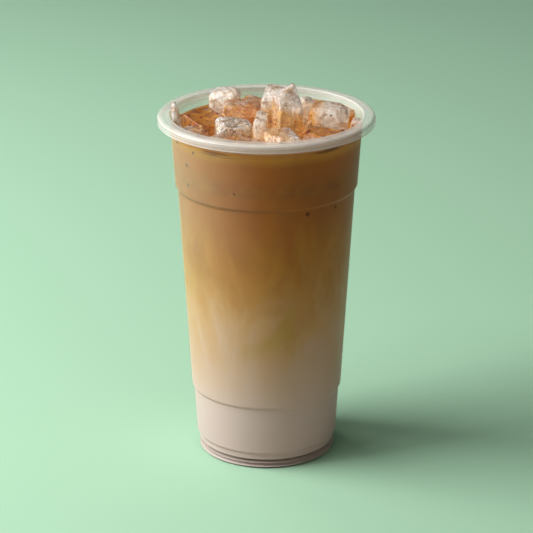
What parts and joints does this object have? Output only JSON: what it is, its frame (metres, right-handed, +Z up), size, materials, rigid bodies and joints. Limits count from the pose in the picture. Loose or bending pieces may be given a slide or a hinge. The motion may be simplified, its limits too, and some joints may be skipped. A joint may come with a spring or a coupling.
{
  "type": "iced latte",
  "caption": "Tall translucent plastic cup of iced latte, pale milk blending up into coffee, with lumps of clear ice standing above the drink inside a flanged lip.",
  "frame": {"origin": "centre of the cup's base, on the table", "axes": "+Z up along the cup's axis, -Y towards the front"},
  "size_m": [0.095, 0.095, 0.1695],
  "materials": {
    "cup": "translucent, softly satin polypropylene",
    "milk": "opaque pale milk",
    "coffee": "opaque milky coffee",
    "ice": "wet clear ice with frost and cracks inside"
  },
  "bodies": {
    "root": {"cup": "cup", "milk": "milk", "coffee": "coffee", "ice_amber": "ice", "ice_back": "ice", "ice_back_edge": "ice", "ice_back_right": "ice", "ice_behind": "ice", "ice_crackled": "ice", "ice_front": "ice", "ice_front_edge": "ice", "ice_front_left": "ice", "ice_front_middle": "ice", "ice_front_right": "ice", "ice_frosted": "ice", "ice_left_block": "ice", "ice_left_front": "ice", "ice_left_slab": "ice", "ice_notch": "ice", "ice_right_back": "ice", "ice_right_block": "ice", "ice_right_chip": "ice", "ice_shoulder": "ice", "ice_splinter": "ice", "ice_summit": "ice"}
  },
  "joints": []
}
